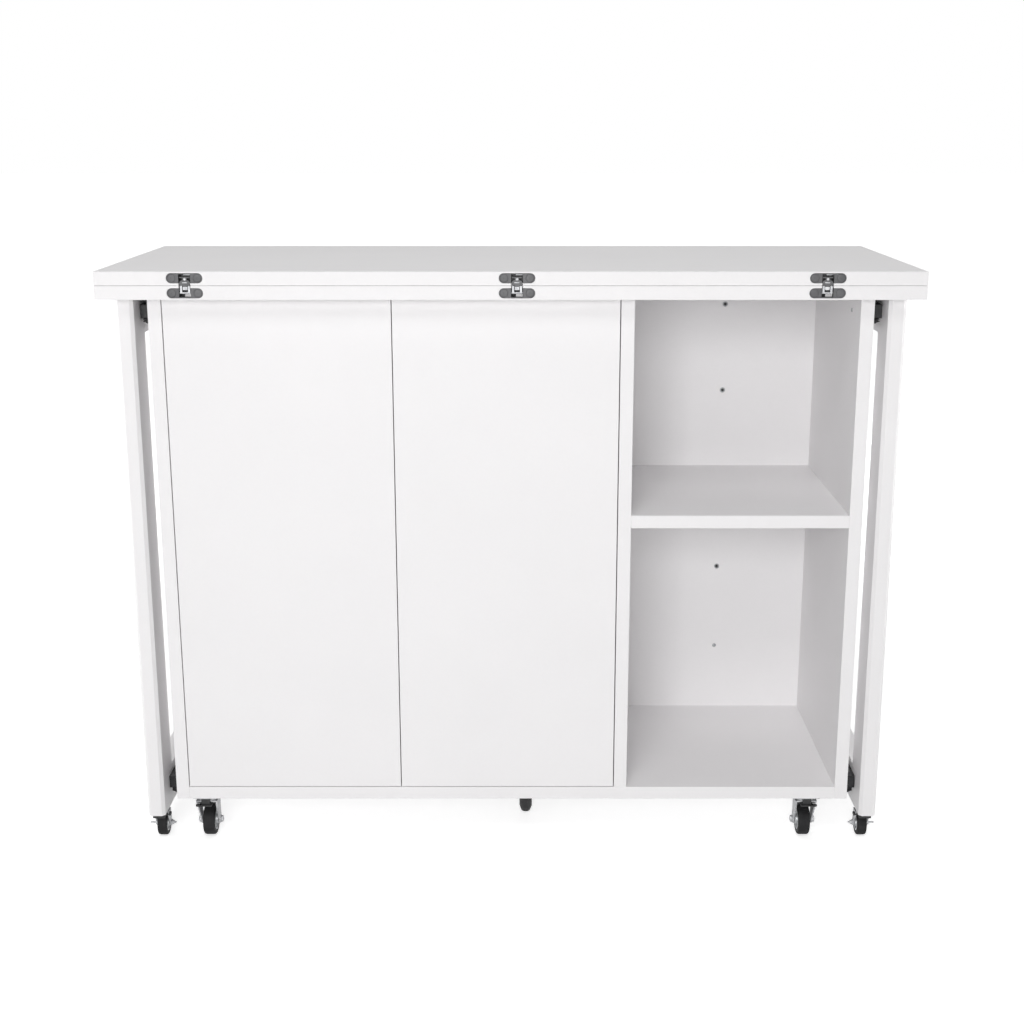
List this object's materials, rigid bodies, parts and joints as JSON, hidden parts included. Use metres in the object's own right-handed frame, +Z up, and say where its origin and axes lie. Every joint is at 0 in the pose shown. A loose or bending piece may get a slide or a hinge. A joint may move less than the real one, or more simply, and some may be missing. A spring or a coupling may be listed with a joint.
{
  "type": "drop leaf kitchen island",
  "caption": "White board kitchen island on casters with a fold-over table leaf, two doors, open shelves and pull-out leaf supports.",
  "frame": {"origin": "on the floor under the middle of the table top, leaf folded onto the slab", "axes": "+Z up, -Y towards the doors and the side the leaf folds out to, +X to the right seen from that side"},
  "size_m": [1.2, 0.454, 0.9135],
  "materials": {
    "white_board": "satin white paint on flat board",
    "zinc_steel": "bright zinc plated",
    "hinge_cap": "dark grey satin",
    "black_steel": "black satin",
    "black_plastic": "black, slightly grained",
    "tyre": "matt black tread, light grey hub"
  },
  "bodies": {
    "island": {"fixed_top": "white_board", "side_left": "white_board", "side_right": "white_board", "bottom_panel": "white_board", "back_panel": "white_board", "divider": "white_board", "open_shelf": "white_board", "inner_shelf": "white_board", "top_rail": "white_board", "centre_foot": "black_plastic", "table_hinge_left_fixed_body": "hinge_cap", "table_hinge_middle_fixed_body": "hinge_cap", "table_hinge_right_fixed_body": "hinge_cap", "door_left_hinge_arm_lower": "zinc_steel", "slide_left_lower_channel": "black_steel", "door_left_hinge_arm_upper": "zinc_steel", "slide_left_upper_channel": "black_steel", "door_right_hinge_arm_lower": "zinc_steel", "slide_right_lower_channel": "black_steel", "door_right_hinge_arm_upper": "zinc_steel", "slide_right_upper_channel": "black_steel", "caster_front_left_plate": "zinc_steel", "caster_front_right_plate": "zinc_steel", "caster_rear_left_plate": "zinc_steel", "caster_rear_right_plate": "zinc_steel"},
    "leaf": {"leaf": "white_board", "table_hinge_left_leaf_body": "hinge_cap", "table_hinge_middle_leaf_body": "hinge_cap", "table_hinge_right_leaf_body": "hinge_cap"},
    "hinge_link_left": {"table_hinge_left_link": "zinc_steel"},
    "hinge_link_middle": {"table_hinge_middle_link": "zinc_steel"},
    "hinge_link_right": {"table_hinge_right_link": "zinc_steel"},
    "door_left": {"door_left": "white_board", "door_left_hinge_cup_lower": "zinc_steel", "door_left_hinge_cup_upper": "zinc_steel"},
    "door_right": {"door_right": "white_board", "door_right_hinge_cup_lower": "zinc_steel", "door_right_hinge_cup_upper": "zinc_steel"},
    "frame_left": {"frame_left": "white_board", "slide_left_upper_runner": "black_steel", "slide_left_lower_runner": "black_steel"},
    "frame_right": {"frame_right": "white_board", "slide_right_upper_runner": "black_steel", "slide_right_lower_runner": "black_steel"},
    "caster_front_left_fork": {"caster_front_left_fork": "zinc_steel"},
    "caster_front_left_wheel": {"caster_front_left_wheel": "tyre"},
    "caster_front_left_brake": {"caster_front_left_brake": "black_plastic"},
    "caster_front_right_fork": {"caster_front_right_fork": "zinc_steel"},
    "caster_front_right_wheel": {"caster_front_right_wheel": "tyre"},
    "caster_front_right_brake": {"caster_front_right_brake": "black_plastic"},
    "caster_rear_left_fork": {"caster_rear_left_fork": "zinc_steel"},
    "caster_rear_left_wheel": {"caster_rear_left_wheel": "tyre"},
    "caster_rear_right_fork": {"caster_rear_right_fork": "zinc_steel"},
    "caster_rear_right_wheel": {"caster_rear_right_wheel": "tyre"},
    "caster_frame_left_fork": {"caster_frame_left_fork": "zinc_steel"},
    "caster_frame_left_wheel": {"caster_frame_left_wheel": "tyre"},
    "caster_frame_left_brake": {"caster_frame_left_brake": "black_plastic"},
    "caster_frame_right_fork": {"caster_frame_right_fork": "zinc_steel"},
    "caster_frame_right_wheel": {"caster_frame_right_wheel": "tyre"},
    "caster_frame_right_brake": {"caster_frame_right_brake": "black_plastic"}
  },
  "joints": [
    {"name": "leaf_fold", "type": "hinge", "parent": "island", "child": "leaf", "pos_m": [0, -0.2273, 0.89325], "axis": [1, 0, 0], "range_deg": [0, 180]},
    {"name": "hinge_link_left_turn", "type": "hinge", "parent": "island", "child": "hinge_link_left", "pos_m": [-0.469, -0.221, 0.8825], "axis": [1, 0, 0], "range_deg": [0, 90]},
    {"name": "hinge_link_middle_turn", "type": "hinge", "parent": "island", "child": "hinge_link_middle", "pos_m": [0.009, -0.221, 0.8825], "axis": [1, 0, 0], "range_deg": [0, 90]},
    {"name": "hinge_link_right_turn", "type": "hinge", "parent": "island", "child": "hinge_link_right", "pos_m": [0.456, -0.221, 0.8825], "axis": [1, 0, 0], "range_deg": [0, 90]},
    {"name": "door_left_swing", "type": "hinge", "parent": "island", "child": "door_left", "pos_m": [-0.5105, -0.197, 0.4855], "axis": [0, 0, -1], "range_deg": [0, 95]},
    {"name": "door_right_swing", "type": "hinge", "parent": "island", "child": "door_right", "pos_m": [0.16, -0.197, 0.4855], "axis": [0, 0, 1], "range_deg": [0, 95]},
    {"name": "frame_left_pull", "type": "slide", "parent": "island", "child": "frame_left", "axis": [0, -1, 0], "range_m": [0, 0.26]},
    {"name": "frame_right_pull", "type": "slide", "parent": "island", "child": "frame_right", "axis": [0, -1, 0], "range_m": [0, 0.26]},
    {"name": "caster_front_left_swivel", "type": "hinge", "parent": "island", "child": "caster_front_left_fork", "pos_m": [-0.4885, -0.1715, 0.079], "axis": [0, 0, 1], "continuous": true},
    {"name": "caster_front_left_roll", "type": "hinge", "parent": "caster_front_left_fork", "child": "caster_front_left_wheel", "pos_m": [-0.4885, -0.1565, 0.025], "axis": [1, 0, 0], "continuous": true},
    {"name": "caster_front_left_brake_press", "type": "hinge", "parent": "caster_front_left_fork", "child": "caster_front_left_brake", "pos_m": [-0.4885, -0.1785, 0.0635], "axis": [1, 0, 0], "range_deg": [0, 10]},
    {"name": "caster_front_right_swivel", "type": "hinge", "parent": "island", "child": "caster_front_right_fork", "pos_m": [0.4705, -0.1715, 0.079], "axis": [0, 0, 1], "continuous": true},
    {"name": "caster_front_right_roll", "type": "hinge", "parent": "caster_front_right_fork", "child": "caster_front_right_wheel", "pos_m": [0.4705, -0.1565, 0.025], "axis": [1, 0, 0], "continuous": true},
    {"name": "caster_front_right_brake_press", "type": "hinge", "parent": "caster_front_right_fork", "child": "caster_front_right_brake", "pos_m": [0.4705, -0.1785, 0.0635], "axis": [1, 0, 0], "range_deg": [0, 10]},
    {"name": "caster_rear_left_swivel", "type": "hinge", "parent": "island", "child": "caster_rear_left_fork", "pos_m": [-0.4885, 0.1565, 0.079], "axis": [0, 0, 1], "continuous": true},
    {"name": "caster_rear_left_roll", "type": "hinge", "parent": "caster_rear_left_fork", "child": "caster_rear_left_wheel", "pos_m": [-0.4885, 0.1715, 0.025], "axis": [1, 0, 0], "continuous": true},
    {"name": "caster_rear_right_swivel", "type": "hinge", "parent": "island", "child": "caster_rear_right_fork", "pos_m": [0.4705, 0.1565, 0.079], "axis": [0, 0, 1], "continuous": true},
    {"name": "caster_rear_right_roll", "type": "hinge", "parent": "caster_rear_right_fork", "child": "caster_rear_right_wheel", "pos_m": [0.4705, 0.1715, 0.025], "axis": [1, 0, 0], "continuous": true},
    {"name": "caster_frame_left_swivel", "type": "hinge", "parent": "frame_left", "child": "caster_frame_left_fork", "pos_m": [-0.5645, -0.168, 0.05], "axis": [0, 0, 1], "continuous": true},
    {"name": "caster_frame_left_roll", "type": "hinge", "parent": "caster_frame_left_fork", "child": "caster_frame_left_wheel", "pos_m": [-0.5645, -0.159, 0.02], "axis": [1, 0, 0], "continuous": true},
    {"name": "caster_frame_left_brake_press", "type": "hinge", "parent": "caster_frame_left_fork", "child": "caster_frame_left_brake", "pos_m": [-0.5645, -0.173, 0.0418], "axis": [1, 0, 0], "range_deg": [0, 10]},
    {"name": "caster_frame_right_swivel", "type": "hinge", "parent": "frame_right", "child": "caster_frame_right_fork", "pos_m": [0.5645, -0.168, 0.05], "axis": [0, 0, 1], "continuous": true},
    {"name": "caster_frame_right_roll", "type": "hinge", "parent": "caster_frame_right_fork", "child": "caster_frame_right_wheel", "pos_m": [0.5645, -0.159, 0.02], "axis": [1, 0, 0], "continuous": true},
    {"name": "caster_frame_right_brake_press", "type": "hinge", "parent": "caster_frame_right_fork", "child": "caster_frame_right_brake", "pos_m": [0.5645, -0.173, 0.0418], "axis": [1, 0, 0], "range_deg": [0, 10]}
  ],
  "couplings": [
    {"joint": "hinge_link_left_turn", "follows": "leaf_fold", "ratio": 0.5},
    {"joint": "hinge_link_middle_turn", "follows": "leaf_fold", "ratio": 0.5},
    {"joint": "hinge_link_right_turn", "follows": "leaf_fold", "ratio": 0.5}
  ]
}
